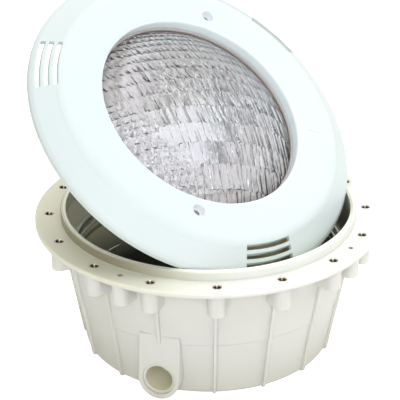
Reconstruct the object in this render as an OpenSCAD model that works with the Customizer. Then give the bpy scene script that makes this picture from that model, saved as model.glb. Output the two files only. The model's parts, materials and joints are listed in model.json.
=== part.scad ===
// Underwater pool light: a cream wall niche with a ring of brass inserts, and the light
// unit that belongs in it, leaning in the niche's mouth the way it is set down for service.
// Millimetres, +Z up. The origin is the centre of the niche's flat base.
// Cuts run 1 mm past the faces that they leave open.
// The light unit is drawn along its own axis (z = 0 at the back edge of the face ring,
// + towards the lens) and in_light() then leans it into the niche.

/* [Niche] */
// Outer diameter of the mounting flange
flange_d = 270; // [262:1:290]
// Thickness of the mounting flange
flange_t = 3.5; // [2.5:0.5:6]
// Height from the base to the top of the flange
niche_h = 106; // [98:1:130]
// Outer diameter of the body just under the flange
body_top_d = 232; // [228:1:234]
// Outer diameter of the body at its foot
body_foot_d = 197; // [180:1:205]
// Thickness of the side wall
wall_t = 4; // [3:0.5:5]
// Thickness of the floor
floor_t = 4; // [3:0.5:6]
// Inner diameter of the mouth, inside the collar
mouth_d = 222; // [216:1:223]
// Wall thickness of the collar
collar_t = 4; // [2.5:0.5:5]
// Height of the collar above the flange
collar_h = 7; // [4:0.5:12]
// Radius of the rounded foot edge
foot_round = 3; // [1:0.5:4]
// Depth below the flange top where the wall steps in
step_drop = 60; // [50:1:70]
// How far the lower wall steps in
step_in = 0.8; // [0.4:0.1:1.2]
// Depth below the flange top of the inner hoop
hoop_drop = 30; // [24:1:34]
// Height of the inner hoop
hoop_h = 10; // [6:1:14]
// How far the inner hoop stands in from the wall
hoop_in = 1.5; // [1:0.5:3]

/* [Flange holes] */
// Number of threaded inserts round the flange
insert_count = 16; // [8:4:16]
// Pitch circle of the flange inserts
insert_pcd = 248; // [246:1:252]
// Outer diameter of a brass insert
insert_d = 7; // [6:0.5:8]
// Bore of a brass insert, an M5 thread's minor diameter
insert_bore_d = 4.2; // [3.3:0.1:5]
// Length of a brass insert
insert_l = 10; // [6:0.5:12]
// Number of plain pilot holes, midway between inserts
pilot_count = 4; // [2:1:4]
// Diameter of a pilot hole
pilot_d = 3.2; // [2.5:0.1:4]
// Depth of a pilot hole
pilot_depth = 8; // [6:0.5:12]
// Diameter of the boss under each hole
boss_d = 13; // [12:0.5:15]
// Height of each boss below the flange
boss_h = 19; // [15:0.5:24]
// Width of the upright ribs on the body
rib_w = 2.2; // [1.5:0.1:4]
// How far the ribs stand out of the body
rib_out = 2.3; // [1:0.1:3]

/* [Conduit port] */
// Which insert the port stands under, counted from the front
port_place = -1; // [-3:1:3]
// Bore of the conduit socket
port_bore_d = 21.5; // [19:0.5:24]
// Depth of the conduit socket from the port's face
port_socket_l = 28; // [22:1:32]
// Diameter of the hole from the socket into the niche
port_through_d = 16; // [12:0.5:18]
// Thickness of the ledge at the socket's inner end
port_ledge_t = 2.5; // [2:0.5:4]
// Diameter of the port boss and width of its pad
port_boss_d = 32; // [31:0.5:36]
// Diameter of the shallow recess at the port's mouth
port_recess_d = 25.5; // [24.5:0.5:28]
// Depth of the recess at the port's mouth
port_recess_h = 1.2; // [0.5:0.1:2]
// Distance of the pad's foot from the niche's axis
port_reach = 111.5; // [109:0.5:114]
// Height where the pad runs out into the wall
port_pad_h = 52; // [44:1:56]
// Wall of the socket tube inside the niche
port_tube_t = 3; // [2:0.5:4]

/* [Screw posts] */
// Circle of the two face screws and their posts
face_screw_pcd = 190; // [189:0.5:191]
// Diameter of each post inside the niche
post_d = 13; // [11:0.5:15]
// Height of each post
post_h = 32; // [24:1:40]
// Depth of the post tops below the flange top
post_drop = 14; // [14:1:18]
// Thickness of the web from a post to the wall
post_web_t = 5; // [3:0.5:7]

/* [Face ring] */
// Outer diameter of the face ring
ring_d = 272; // [268:1:280]
// Height of the ring's front face above its back edge
ring_h = 19.6; // [18:0.2:24]
// Height of the upright skirt at the rim
skirt_h = 3.6; // [2:0.2:5]
// Width of the sloping rim outside the flat front face
slope_w = 23.5; // [22:0.5:25]
// Inner diameter of the ring's opening
aperture_d = 166; // [164:0.5:166.5]
// Radius of the rounded lip of the opening
lip_round = 3; // [2:0.5:4]
// Wall thickness of the ring
ring_wall = 3; // [2:0.5:3.5]
// Depth from the front face to the step in the throat
throat_h = 9; // [7:0.5:10]
// How far the throat steps out behind the lip
throat_step = 0.8; // [0.4:0.1:1.2]
// Depth from the front face to the gasket seat
seat_drop = 13.5; // [13:0.5:14]
// Diameter of the face screw holes
face_hole_d = 5.5; // [4.5:0.5:5.5]
// Diameter of the face screw counterbores
face_sink_d = 9.5; // [8:0.5:10]
// Depth of the face screw counterbores
face_sink_h = 5; // [3:0.5:7]
// Width of the prying notch in the rim
notch_w = 5; // [4:0.5:8]
// Height of the prying notch
notch_h = 1.6; // [1:0.1:2]

/* [Face ring slots] */
// Number of slot groups round the ring
slot_groups = 3; // [2:1:4]
// Slots in each group
slots_each = 3; // [2:1:3]
// Distance from the ring's edge to the middle of the innermost slot
slot_inset = 16.5; // [16:0.5:18]
// Distance from slot to slot
slot_pitch = 5.6; // [4.8:0.1:5.8]
// Width of a slot
slot_w = 3.2; // [2:0.1:3.6]
// Angle that each slot spans
slot_span = 19.5; // [12:0.5:28]
// Angle of the first group from the front screw
slot_start = 30; // [24:1:36]

/* [Lamp] */
// Outer diameter of the sealed lamp
lamp_d = 177.8; // [177:0.1:178.2]
// Radius of the lens's curved front
lens_curve_r = 130; // [128:1:140]
// Depth of the lens's flat shoulder below the gasket seat
shoulder_drop = 4.35; // [4:0.05:5]
// Thickness of the lens and reflector glass
glass_t = 3.5; // [3:0.5:4]
// Width of the flat shoulder round the lens
shoulder_w = 1.4; // [1:0.1:2]
// Height of the lamp's rim, lens and reflector together
lamp_rim_h = 5.5; // [5:0.5:7]
// Height of the lens's share of the rim
lens_rim_h = 2.8; // [2:0.1:3.5]
// Outer diameter of the reflector just behind the rim
reflector_mouth_d = 168; // [164:0.5:168]
// Outer diameter of the reflector's neck
neck_d = 48; // [40:1:52]
// Depth of the reflector from the rim to its back
reflector_h = 74; // [68:1:76]
// Radius of the filament coil
filament_r = 1.6; // [1:0.1:3]
// Distance between the two filament posts
post_gap = 18; // [14:1:24]
// Diameter of a filament post
lead_d = 2; // [1.5:0.1:3]
// Height of the filament above the inside of the neck
filament_h = 24; // [18:1:30]
// Diameter of the ceramic base
base_d = 44; // [36:1:46]
// Thickness of the ceramic base
base_t = 6; // [4:0.5:7]
// Distance between the two screw terminals
terminal_gap = 22; // [18:0.5:24]
// Side of a square terminal
terminal_w = 9; // [7:0.5:10]
// Height of a terminal
terminal_h = 4; // [3:0.5:5]
// Diameter of a terminal screw's head
terminal_head_d = 7; // [6:0.5:8]

/* [Gasket] */
// Thickness of the gasket's wall round the lamp's rim
gasket_wall = 1.3; // [1:0.1:1.5]
// Thickness of the gasket's lip behind the rim
gasket_lip = 2; // [1.5:0.1:3]
// How far the gasket's lips reach in over the rim
gasket_reach = 4.5; // [3:0.1:4.6]

/* [Rear housing] */
// Outer diameter of the housing's flange
housing_flange_d = 208; // [207:1:212]
// Thickness of the housing's flange
housing_flange_t = 4; // [3.5:0.5:6]
// Wall thickness of the housing
housing_wall = 3; // [2:0.5:3.5]
// Outer diameter of the wide part of the housing
bowl_d = 176; // [175:0.5:178]
// Outer diameter of the narrow cap at the back
cap_d = 82; // [76:1:86]
// Depth of the housing behind its flange
housing_h = 93; // [92:1:97]
// Length of the narrow cap
cap_l = 19; // [18:0.5:20]
// Clearance hole in the flange for a face screw
face_pass_d = 7; // [6:0.5:8]

/* [Housing screws] */
// Number of screws that hold the housing to the ring
housing_screw_count = 6; // [4:2:8]
// Circle of the housing screws
housing_screw_pcd = 198; // [196:0.5:199]
// Diameter of a housing screw
housing_screw_d = 4; // [3:0.5:5]
// Length of a housing screw under its head
housing_screw_l = 14; // [12:0.5:15]
// Head diameter of a housing screw
housing_head_d = 7.5; // [6:0.5:8]
// Head height of a housing screw
housing_head_h = 2.6; // [2:0.1:4]
// Diameter of the ring's screw bosses
ring_boss_d = 9; // [8:0.5:10]
// Outer diameter of the brass inserts in the ring
ring_insert_d = 5.6; // [5.2:0.1:6]
// Length of the brass inserts in the ring
ring_insert_l = 8; // [6:0.5:9]
// Thickness of a screw's washer
washer_t = 1; // [0.6:0.1:1.5]

/* [Cable gland] */
// Direction of the gland round the housing, from the front screw
gland_angle = 210; // [195:1:240]
// Diameter of the cable that the gland takes
cable_d = 8.2; // [6:0.1:9]
// Diameter of the gland's thread
gland_thread_d = 14; // [13:0.5:15]
// Width across the flats of the gland's hexagons
gland_flats = 17; // [16.5:0.5:18]
// Height of the gland body's hexagon
gland_hex_h = 6; // [4:0.5:8]
// Length of the gland nut
gland_nut_l = 14; // [12:0.5:16]
// Thickness of the locknut inside the housing
locknut_t = 3; // [2:0.5:3.5]
// Diameter of the flat boss that the gland stands on
gland_boss_d = 20.5; // [20:0.5:21]
// Height of the gland's boss out of the cap
gland_boss_out = 2; // [1:0.5:4]
// Thickness of the washer under the gland
gland_washer_t = 1.5; // [1:0.1:2]

/* [Lean] */
// Tilt of the light unit from level
lean_tilt = 38.5; // [35:0.5:42]
// Direction that the light faces, from the front of the niche
lean_turn = 42.5; // [35:0.1:55]
// Angle round the mouth from the lean line to each touching point
lean_grip = 56.6; // [55:0.1:60]
// How far the light unit is turned about its own axis from lining up with the posts
light_turn = 2; // [-10:0.5:10]

/* [Edges and walls] */
// Chamfer of the niche's flange and collar edges
edge_ease = 0.6; // [0.3:0.1:1]
// Wall of the ring's hub round the gasket
hub_wall = 2.6; // [2:0.1:3]
// Depth of the straight part of the housing behind its flange
bowl_straight = 8; // [6:0.5:12]
// How far the housing's side keeps its width before it curves in
bowl_bulge = 30; // [24:1:36]
// Depth of a screwdriver slot or cross
slot_depth = 1.2; // [0.8:0.1:1.6]
// Wall of the gland's thread round the seal
gland_wall = 1.2; // [1:0.1:1.5]
// Depth of the blind hole below an insert
insert_relief = 3; // [2:0.5:5]
// Depth of the groove between an insert's knurled bands, on the diameter
insert_groove = 0.8; // [0.4:0.1:1.2]
// Play of a screw in its clearance hole, on the diameter
screw_play = 0.4; // [0.2:0.1:0.8]
// Width of a screwdriver slot
driver_w = 0.8; // [0.6:0.1:1.2]
// Diameter of a terminal screw
terminal_screw_d = 3.3; // [3:0.1:3.5]
// Height of a terminal screw's head
terminal_head_h = 2.4; // [2:0.1:3]
// Thickness of the gland nut's end wall
gland_end_t = 3.4; // [3:0.1:4]
// Thickness of the seal's collar under that wall
seal_cap_t = 1.5; // [1:0.1:2]
// Height of the gland nut's rounded end
nut_dome = 4; // [3:0.5:5]
// Depth of the locknut's flat inside the cap
flat_cut = 1.5; // [1:0.1:2]
// Room cut inside the cap for the locknut
locknut_room = 8; // [6:0.5:10]

/* [Fits] */
// Clearance between pieces that move on each other
run_fit = 0.3; // [0.2:0.05:0.4]
// Clearance round a pressed or threaded piece
press_fit = 0.05; // [0.02:0.01:0.1]

/* [Hidden] */
$fn = 96;

// Niche
flange_z = niche_h;
flange_low = niche_h - flange_t;
mouth_z = niche_h + collar_h;
mouth_r = mouth_d / 2;
collar_r = mouth_r + collar_t;
flange_r = flange_d / 2;
foot_r = body_foot_d / 2;
body_top_r = body_top_d / 2;
function body_r(z) = foot_r + (body_top_r - foot_r) * z / flange_low;
function lower_r(z) = body_r(z) - step_in;
step_z = niche_h - step_drop;
hoop_top = niche_h - hoop_drop;
hoop_low = hoop_top - hoop_h;
function inner_r(z) = body_r(z) - wall_t;
insert_turn = 360 / insert_count;
insert_r = insert_pcd / 2;
pilot_turn = 360 / pilot_count;
boss_low = flange_low - boss_h;
rib_top = boss_low + 1;
web_r = body_top_r - wall_t + 0.5;

// Conduit port
port_turn = port_place * insert_turn;
port_r = port_boss_d / 2;
port_z = port_r;
pad_top_r = body_r(port_pad_h);
port_face_r = port_reach - (port_reach - pad_top_r) * port_z / port_pad_h;
socket_end_r = port_face_r - port_socket_l;

// Screw posts
screw_r = face_screw_pcd / 2;
post_top = niche_h - post_drop;

// Light unit, along its own axis
ring_r = ring_d / 2;
aperture_r = aperture_d / 2;
plateau_r = ring_r - slope_w;
slot_first_r = ring_r - slot_inset;
seat_z = ring_h - seat_drop;
throat_z = ring_h - throat_h;
throat_r = aperture_r + throat_step;
lamp_r = lamp_d / 2;
shoulder_r = lamp_r - shoulder_w;
shoulder_z = seat_z - shoulder_drop;
lens_centre = shoulder_z - sqrt(lens_curve_r * lens_curve_r - shoulder_r * shoulder_r);
lens_tip = lens_centre + lens_curve_r;
seam_z = shoulder_z - lens_rim_h;
rim_back = shoulder_z - lamp_rim_h;
flange_face = rim_back - run_fit;
pocket_floor = flange_face - gasket_lip;
gasket_r = lamp_r + run_fit + gasket_wall;
hub_r = gasket_r + press_fit;
housing_flange_r = housing_flange_d / 2;
flange_back = flange_face - housing_flange_t;
bowl_r = bowl_d / 2;
cap_r = cap_d / 2;
housing_back = flange_back - housing_h;
cap_front = housing_back + cap_l;
bowl_knee = flange_back - bowl_straight;
mouth_glass_r = reflector_mouth_d / 2;
neck_r = neck_d / 2;
neck_z = rim_back - reflector_h;
neck_floor = neck_z + glass_t;
lead_top = neck_floor + filament_h;
base_back = neck_z - base_t;
terminal_back = base_back - terminal_h;
screw_boss_r = housing_screw_pcd / 2;
screw_turn = 360 / housing_screw_count;
gland_z = housing_back + cap_l / 2;
gland_face = cap_r + gland_boss_out;
gland_seat = gland_face + gland_washer_t;
gland_shoulder = gland_seat + gland_hex_h;
thread_r = gland_thread_d / 2;
cable_r = cable_d / 2;
cap_flat = cap_r - housing_wall - flat_cut;
seal_wall = thread_r - cable_r - gland_wall;
thread_top = gland_nut_l - gland_end_t - seal_cap_t - 2 * press_fit;

// How the light unit leans: its back edge touches the mouth at two points
touch_r = mouth_r - run_fit;
touch_half = touch_r * sin(lean_grip);
touch_out = touch_r * cos(lean_grip);
touch_down = sqrt(ring_r * ring_r - touch_half * touch_half);
lean_out = touch_out - touch_down * cos(lean_tilt);
lean_up = mouth_z + touch_down * sin(lean_tilt);

// Places a light unit piece, drawn along its own axis, into the leaning pose
module in_light() {
    translate([lean_out * sin(lean_turn), -lean_out * cos(lean_turn), lean_up])
        rotate(a = lean_tilt, v = [cos(lean_turn), sin(lean_turn), 0])
            rotate([0, 0, light_turn])
                children();
}

// Turns a piece drawn towards the front (-Y) round to an angle; + is towards +X
module turned(angle) {
    rotate([0, 0, angle]) children();
}

// Stands a piece drawn along +Z on the front side, pointing out along -Y, at a height
module pointing_out(z) {
    translate([0, 0, z]) rotate([90, 0, 0]) children();
}

// A flat plate in the upright plane through the axis, from (distance, height) points
module upright_plate(thick, points) {
    rotate([0, 0, -90]) rotate([90, 0, 0])
        linear_extrude(thick, center = true) polygon(points);
}

// Points of a quadratic curve from a to c, pulled towards b
function curve(a, b, c, n = 6) =
    [for (i = [0:n]) let (t = i / n) (1 - t) * (1 - t) * a + 2 * t * (1 - t) * b + t * t * c];

// A tube with a bore along +Z
module tube(outer_r, inner_r, h) {
    difference() {
        cylinder(r = outer_r, h = h);
        translate([0, 0, -1]) cylinder(r = inner_r, h = h + 2);
    }
}

// A hexagonal prism along +Z, given by its width across the flats
module hexagon(flats, h) {
    cylinder(d = flats / cos(30), h = h, $fn = 6);
}

// ---- niche ----

// Side wall, floor, flange and collar as one turned shape
module niche_body() {
    rotate_extrude($fn = 180)
        polygon(concat(
            [[0, 0]],
            curve([lower_r(0) - foot_round, 0], [lower_r(0), 0], [lower_r(foot_round), foot_round]),
            [[lower_r(step_z), step_z], [body_r(step_z + 1), step_z + 1],
             [body_top_r, flange_low],
             [flange_r, flange_low], [flange_r, flange_z - edge_ease],
             [flange_r - edge_ease, flange_z],
             [collar_r, flange_z], [collar_r, mouth_z - edge_ease],
             [collar_r - edge_ease, mouth_z],
             [mouth_r, mouth_z], [mouth_r, flange_low],
             [inner_r(flange_low - 2), flange_low - 2],
             [inner_r(hoop_top), hoop_top], [inner_r(hoop_top) - hoop_in, hoop_top - 1],
             [inner_r(hoop_low) - hoop_in, hoop_low + 1], [inner_r(hoop_low), hoop_low],
             [inner_r(floor_t), floor_t + foot_round],
             [inner_r(floor_t) - foot_round, floor_t], [0, floor_t]]));
}

// Boss under a flange hole, with the web that ties it to the wall
module flange_boss() {
    translate([0, 0, boss_low])
        linear_extrude(boss_h + 1) {
            translate([0, -insert_r]) circle(d = boss_d);
            translate([-boss_d / 2, -insert_r]) square([boss_d, insert_r - web_r]);
        }
}

// Upright rib from a boss down to the foot
module body_rib() {
    upright_plate(rib_w,
        [[lower_r(0) - wall_t / 2, edge_ease], [lower_r(0) + rib_out - edge_ease, edge_ease],
         [lower_r(0) + rib_out, 2 * edge_ease], [body_r(rib_top) + rib_out, rib_top],
         [body_r(rib_top) - wall_t / 2, rib_top]]);
}

// Leaning pad that carries the conduit port, round at its foot
module port_pad() {
    intersection() {
        upright_plate(port_boss_d,
            [[foot_r - wall_t, 0], [port_reach, 0],
             [pad_top_r, port_pad_h], [inner_r(port_pad_h) + 1, port_pad_h]]);
        pointing_out(port_z)
            linear_extrude(port_reach + 1) {
                circle(d = port_boss_d);
                translate([-port_r, 0]) square([port_boss_d, port_pad_h]);
            }
    }
}

// Socket tube that carries on inside the niche, cut level with the floor's underside
module port_tube() {
    intersection() {
        pointing_out(port_z) translate([0, 0, socket_end_r - port_ledge_t])
            cylinder(d = port_bore_d + 2 * port_tube_t,
                     h = foot_r - wall_t / 2 - socket_end_r + port_ledge_t);
        translate([-port_r, -port_reach, floor_t / 2]) cube([port_boss_d, port_reach, port_pad_h]);
    }
}

// Socket, its mouth recess and the hole on into the niche
module port_cuts() {
    pointing_out(port_z) {
        translate([0, 0, socket_end_r]) cylinder(d = port_bore_d, h = port_socket_l + 4);
        translate([0, 0, port_face_r - port_recess_h]) cylinder(d = port_recess_d, h = 6);
        translate([0, 0, socket_end_r - port_ledge_t - 1])
            cylinder(d = port_through_d, h = port_ledge_t + 2);
    }
}

// Post for a face screw, tied to the wall by a web
module screw_post() {
    translate([0, -screw_r, post_top - post_h]) cylinder(d = post_d, h = post_h);
    upright_plate(post_web_t,
        [[screw_r, post_top - post_h], [inner_r(post_top - post_h) + 1, post_top - post_h],
         [inner_r(post_top - 2) + 1, post_top - 2], [screw_r, post_top - 2]]);
}

// Cut for a brass insert, with the blind hole below it
module insert_seat() {
    cylinder(d = insert_d + 2 * press_fit, h = insert_l + 1);
    translate([0, 0, -insert_relief]) cylinder(d = insert_bore_d, h = insert_relief + 1);
}

module niche_shell() {
    color("#efeee4")
    difference() {
        union() {
            niche_body();
            for (i = [0:insert_count - 1]) turned(i * insert_turn) {
                flange_boss();
                body_rib();
            }
            for (i = [0:pilot_count - 1]) turned(i * pilot_turn - 1.5 * insert_turn) flange_boss();
            for (a = [0, 180]) turned(a) screw_post();
            turned(port_turn) {
                port_pad();
                port_tube();
            }
        }
        for (i = [0:insert_count - 1]) turned(i * insert_turn)
            translate([0, -insert_r, flange_z - insert_l]) insert_seat();
        for (i = [0:pilot_count - 1]) turned(i * pilot_turn - 1.5 * insert_turn)
            translate([0, -insert_r, flange_z - pilot_depth]) cylinder(d = pilot_d, h = pilot_depth + 1);
        for (a = [0, 180]) turned(a)
            translate([0, -screw_r, post_top - insert_l]) insert_seat();
        turned(port_turn) port_cuts();
    }
}

// One brass insert, standing on its lower end, with its two knurled bands
module brass_insert(outer_d, bore_d, l) {
    band = 0.4 * l;
    difference() {
        union() {
            cylinder(d = outer_d - insert_groove, h = l);
            for (z = [0, l - band]) translate([0, 0, z]) cylinder(d = outer_d, h = band);
        }
        translate([0, 0, -1]) cylinder(d = bore_d, h = l + 2);
    }
}

module flange_inserts() {
    color("#b0893f")
    for (i = [0:insert_count - 1]) turned(i * insert_turn)
        translate([0, -insert_r, flange_z - insert_l]) brass_insert(insert_d, insert_bore_d, insert_l);
}

module post_inserts() {
    color("#b0893f")
    for (a = [0, 180]) turned(a)
        translate([0, -screw_r, post_top - insert_l]) brass_insert(insert_d, insert_bore_d, insert_l);
}

// ---- light unit: ring, gasket and housing ----

// Outline of the ring: lip, front face, sloping rim, skirt and the hub behind.
// rim(out, down) is a point at those shares of the slope's width and of its height.
module ring_outline() {
    rim_h = ring_h - skirt_h;
    function rim(out, down) = [plateau_r + out * slope_w, ring_h - down * rim_h];
    upper = rim(0.34, 0.26);
    lower = rim(0.9, 0.81);
    fall = atan2(upper[1] - lower[1], lower[0] - upper[0]);
    inward = -ring_wall * [sin(fall), cos(fall)];
    polygon(concat(
        [[throat_r, seat_z], [throat_r, throat_z - throat_step / 2], [aperture_r, throat_z]],
        curve([aperture_r, ring_h - lip_round], [aperture_r, ring_h], [aperture_r + lip_round, ring_h]),
        curve(rim(-0.17, 0), rim(0.13, 0), upper),
        curve(lower, rim(1, 0.95), rim(1, 1)),
        [[ring_r, edge_ease / 2], [ring_r - edge_ease / 2, 0], [ring_r - ring_wall, 0],
         [ring_r - ring_wall, skirt_h / 2], lower + inward],
        curve(upper + inward, rim(0.05, 0) - [0, ring_wall], rim(-0.17, 0) - [0, ring_wall], 4),
        [[gasket_r + ring_wall, ring_h - ring_wall], [hub_r + hub_wall, seat_z + ring_wall],
         [hub_r + hub_wall, flange_face], [hub_r, flange_face], [hub_r, seat_z]]));
}

module face_ring() {
    color("#f2fbfb")
    in_light()
    difference() {
        union() {
            rotate_extrude($fn = 180) ring_outline();
            for (a = [0, 180]) turned(a) translate([0, -screw_r, seat_z])
                cylinder(d = face_sink_d + ring_wall, h = ring_h - ring_wall / 2 - seat_z);
            for (i = [0:housing_screw_count - 1]) turned((i + 0.5) * screw_turn)
                translate([0, -screw_boss_r, flange_face])
                    cylinder(d = ring_boss_d, h = ring_h - ring_wall / 2 - flange_face);
        }
        translate([0, 0, flange_face - 1]) cylinder(r = hub_r, h = seat_z - flange_face + 1);
        for (a = [0, 180]) turned(a) translate([0, -screw_r, flange_face - 1]) {
            cylinder(d = face_hole_d, h = ring_h - flange_face + 2);
            cylinder(d = face_pass_d, h = seat_z - flange_face + 1);
            translate([0, 0, ring_h - face_sink_h - flange_face + 1])
                cylinder(d = face_sink_d, h = face_sink_h + 1);
        }
        for (i = [0:housing_screw_count - 1]) turned((i + 0.5) * screw_turn)
            translate([0, -screw_boss_r, flange_face - 1]) {
                cylinder(d = ring_insert_d + 2 * press_fit, h = ring_insert_l + 1);
                cylinder(d = housing_screw_d + screw_play, h = housing_screw_l - housing_flange_t - washer_t + 2);
            }
        for (g = [0:slot_groups - 1], s = [0:slots_each - 1])
            turned(g * 360 / slot_groups + slot_start - 90 - slot_span / 2)
                rotate_extrude(angle = slot_span, $fn = 180)
                    translate([slot_first_r + s * slot_pitch - slot_w / 2, -1])
                        square([slot_w, ring_h + 2]);
        translate([-notch_w / 2, -ring_r - 1, -1]) cube([notch_w, ring_wall + 2, notch_h + 1]);
    }
}

module ring_inserts() {
    color("#b0893f")
    in_light()
    for (i = [0:housing_screw_count - 1]) turned((i + 0.5) * screw_turn)
        translate([0, -screw_boss_r, flange_face])
            brass_insert(ring_insert_d, housing_screw_d + 2 * press_fit, ring_insert_l);
}

// Channel-shaped rubber ring that wraps the lamp's rim
module lens_gasket() {
    lip_r = gasket_r - gasket_wall - gasket_reach;
    color("#7d746b")
    in_light()
    difference() {
        rotate_extrude($fn = 180)
            polygon([[lip_r, seat_z], [gasket_r, seat_z], [gasket_r, pocket_floor],
                     [lip_r, pocket_floor], [lip_r, flange_face],
                     [lamp_r + run_fit, flange_face], [lamp_r + run_fit, shoulder_z + run_fit],
                     [lip_r, shoulder_z + run_fit]]);
        translate([0, 0, lens_centre]) sphere(r = lens_curve_r + run_fit, $fn = 180);
    }
}

// Black bowl over the lamp's back, with a narrow cap for the terminals
module rear_housing() {
    bulge_r = bowl_r - 0.15 * (bowl_r - cap_r);
    color("#1b1b1d")
    in_light()
    difference() {
        union() {
            rotate_extrude($fn = 180)
                polygon(concat(
                    [[hub_r, pocket_floor], [hub_r, flange_face], [housing_flange_r, flange_face],
                     [housing_flange_r, flange_back], [bowl_r, flange_back]],
                    curve([bowl_r, bowl_knee], [bulge_r, bowl_knee - bowl_bulge],
                          [cap_r + 3, cap_front + 3], 8),
                    [[cap_r, cap_front], [cap_r, housing_back + 2], [cap_r - 2, housing_back],
                     [0, housing_back], [0, housing_back + housing_wall],
                     [cap_r - housing_wall, housing_back + housing_wall],
                     [cap_r - housing_wall, cap_front + 1]],
                    curve([cap_r + 3 - housing_wall, cap_front + 4],
                          [bulge_r - housing_wall, bowl_knee - bowl_bulge + 2],
                          [bowl_r - housing_wall, bowl_knee], 8),
                    [[bowl_r - housing_wall, pocket_floor]]));
            turned(gland_angle) pointing_out(gland_z) translate([0, 0, cap_flat])
                cylinder(d = gland_boss_d, h = gland_face - cap_flat);
            for (i = [0:housing_screw_count - 1]) turned(i * screw_turn)
                upright_plate(housing_wall,
                    [[bowl_r - 2, flange_back + 1], [housing_flange_r - 3, flange_back + 1],
                     [housing_flange_r - 3, flange_back - 1], [bowl_r - 2, bowl_knee - 4]]);
        }
        turned(gland_angle) pointing_out(gland_z) {
            translate([0, 0, cap_flat - 1]) cylinder(r = thread_r + press_fit, h = gland_face - cap_flat + 2);
            translate([0, 0, cap_flat - locknut_room]) cylinder(d = gland_boss_d + 4, h = locknut_room);
        }
        for (i = [0:housing_screw_count - 1]) turned((i + 0.5) * screw_turn)
            translate([0, -screw_boss_r, flange_back - 1])
                cylinder(d = housing_screw_d + screw_play, h = housing_flange_t + 2);
        for (a = [0, 180]) turned(a) translate([0, -screw_r, flange_back - 20])
            cylinder(d = face_pass_d, h = housing_flange_t + 21);
    }
}

// Places a housing screw piece, drawn down from the flange's back face
module at_housing_screws() {
    in_light() for (i = [0:housing_screw_count - 1]) turned((i + 0.5) * screw_turn)
        translate([0, -screw_boss_r, flange_back]) children();
}

module housing_screws() {
    color("#c4c6c8")
    at_housing_screws()
    difference() {
        union() {
            translate([0, 0, -washer_t]) cylinder(d = housing_screw_d, h = housing_screw_l);
            translate([0, 0, -washer_t - housing_head_h]) cylinder(d = housing_head_d, h = housing_head_h);
        }
        for (a = [0, 90]) rotate([0, 0, a])
            translate([-housing_head_d * 0.3, -driver_w / 2, -washer_t - housing_head_h - 1])
                cube([housing_head_d * 0.6, driver_w, slot_depth + 1]);
    }
}

module screw_washers() {
    color("#aeb1b4")
    at_housing_screws()
    translate([0, 0, -washer_t]) tube(housing_head_d / 2 + edge_ease, (housing_screw_d + screw_play) / 2, washer_t);
}

// ---- light unit: cable gland ----

// Places a gland piece drawn along +Z from the niche side of the lamp's axis outwards
module at_gland(out) {
    in_light() turned(gland_angle) pointing_out(gland_z) translate([0, 0, out]) children();
}

module gland_washer() {
    color("#3a3a3c")
    at_gland(gland_face) tube(gland_flats / 2, thread_r + press_fit, gland_washer_t);
}

module gland_body() {
    stub_l = gland_seat - cap_flat + locknut_t + 1;
    color("#26272a")
    at_gland(gland_seat)
    difference() {
        union() {
            translate([0, 0, -stub_l]) cylinder(r = thread_r, h = stub_l + 1);
            hexagon(gland_flats, gland_hex_h);
            cylinder(r = thread_r, h = gland_hex_h + thread_top);
        }
        translate([0, 0, -stub_l - 1]) cylinder(r = cable_r + screw_play, h = stub_l + gland_hex_h + gland_nut_l);
        translate([0, 0, gland_hex_h]) cylinder(r = cable_r + seal_wall + press_fit, h = gland_nut_l);
    }
}

module gland_locknut() {
    color("#303135")
    at_gland(cap_flat - locknut_t)
    difference() {
        hexagon(gland_flats, locknut_t);
        translate([0, 0, -1]) cylinder(r = thread_r + press_fit, h = locknut_t + 2);
    }
}

// Rubber sleeve that the nut squeezes onto the cable
module gland_seal() {
    color("#55524e")
    at_gland(gland_shoulder)
    difference() {
        union() {
            cylinder(r = cable_r + seal_wall, h = thread_top + seal_cap_t);
            translate([0, 0, thread_top + press_fit]) cylinder(r = thread_r - press_fit, h = seal_cap_t);
        }
        translate([0, 0, -1]) cylinder(r = cable_r, h = gland_nut_l + 2);
    }
}

module gland_nut() {
    color("#26272a")
    at_gland(gland_shoulder)
    difference() {
        union() {
            hexagon(gland_flats, gland_nut_l - nut_dome);
            rotate_extrude() polygon(concat([[0, 0], [gland_flats / 2, 0]],
                curve([gland_flats / 2, gland_nut_l - nut_dome], [gland_flats / 2, gland_nut_l],
                      [cable_r + gland_wall, gland_nut_l]), [[0, gland_nut_l]]));
        }
        translate([0, 0, -1]) cylinder(r = thread_r + press_fit, h = gland_nut_l - gland_end_t + 1);
        cylinder(r = cable_r + edge_ease, h = gland_nut_l + 1);
    }
}

// ---- lamp ----

module lamp_lens() {
    inner_curve = lens_curve_r - glass_t;
    inner_rim_r = sqrt(inner_curve * inner_curve - pow(seam_z - lens_centre, 2));
    color("#dcdde0")
    in_light()
    difference() {
        intersection() {
            union() {
                translate([0, 0, seam_z]) cylinder(r = lamp_r, h = lens_rim_h, $fn = 180);
                translate([0, 0, seam_z]) cylinder(r = shoulder_r, h = lens_tip - seam_z, $fn = 180);
            }
            union() {
                translate([0, 0, lens_centre]) sphere(r = lens_curve_r, $fn = 180);
                translate([0, 0, seam_z]) tube(lamp_r + 1, inner_rim_r + 1, lens_rim_h);
            }
        }
        translate([0, 0, lens_centre]) sphere(r = inner_curve, $fn = 180);
    }
}

// Height of the reflector's outer bowl at a radius
function bowl_z(r) = neck_z + (rim_back - neck_z) * (r * r - neck_r * neck_r)
    / (mouth_glass_r * mouth_glass_r - neck_r * neck_r);

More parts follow.
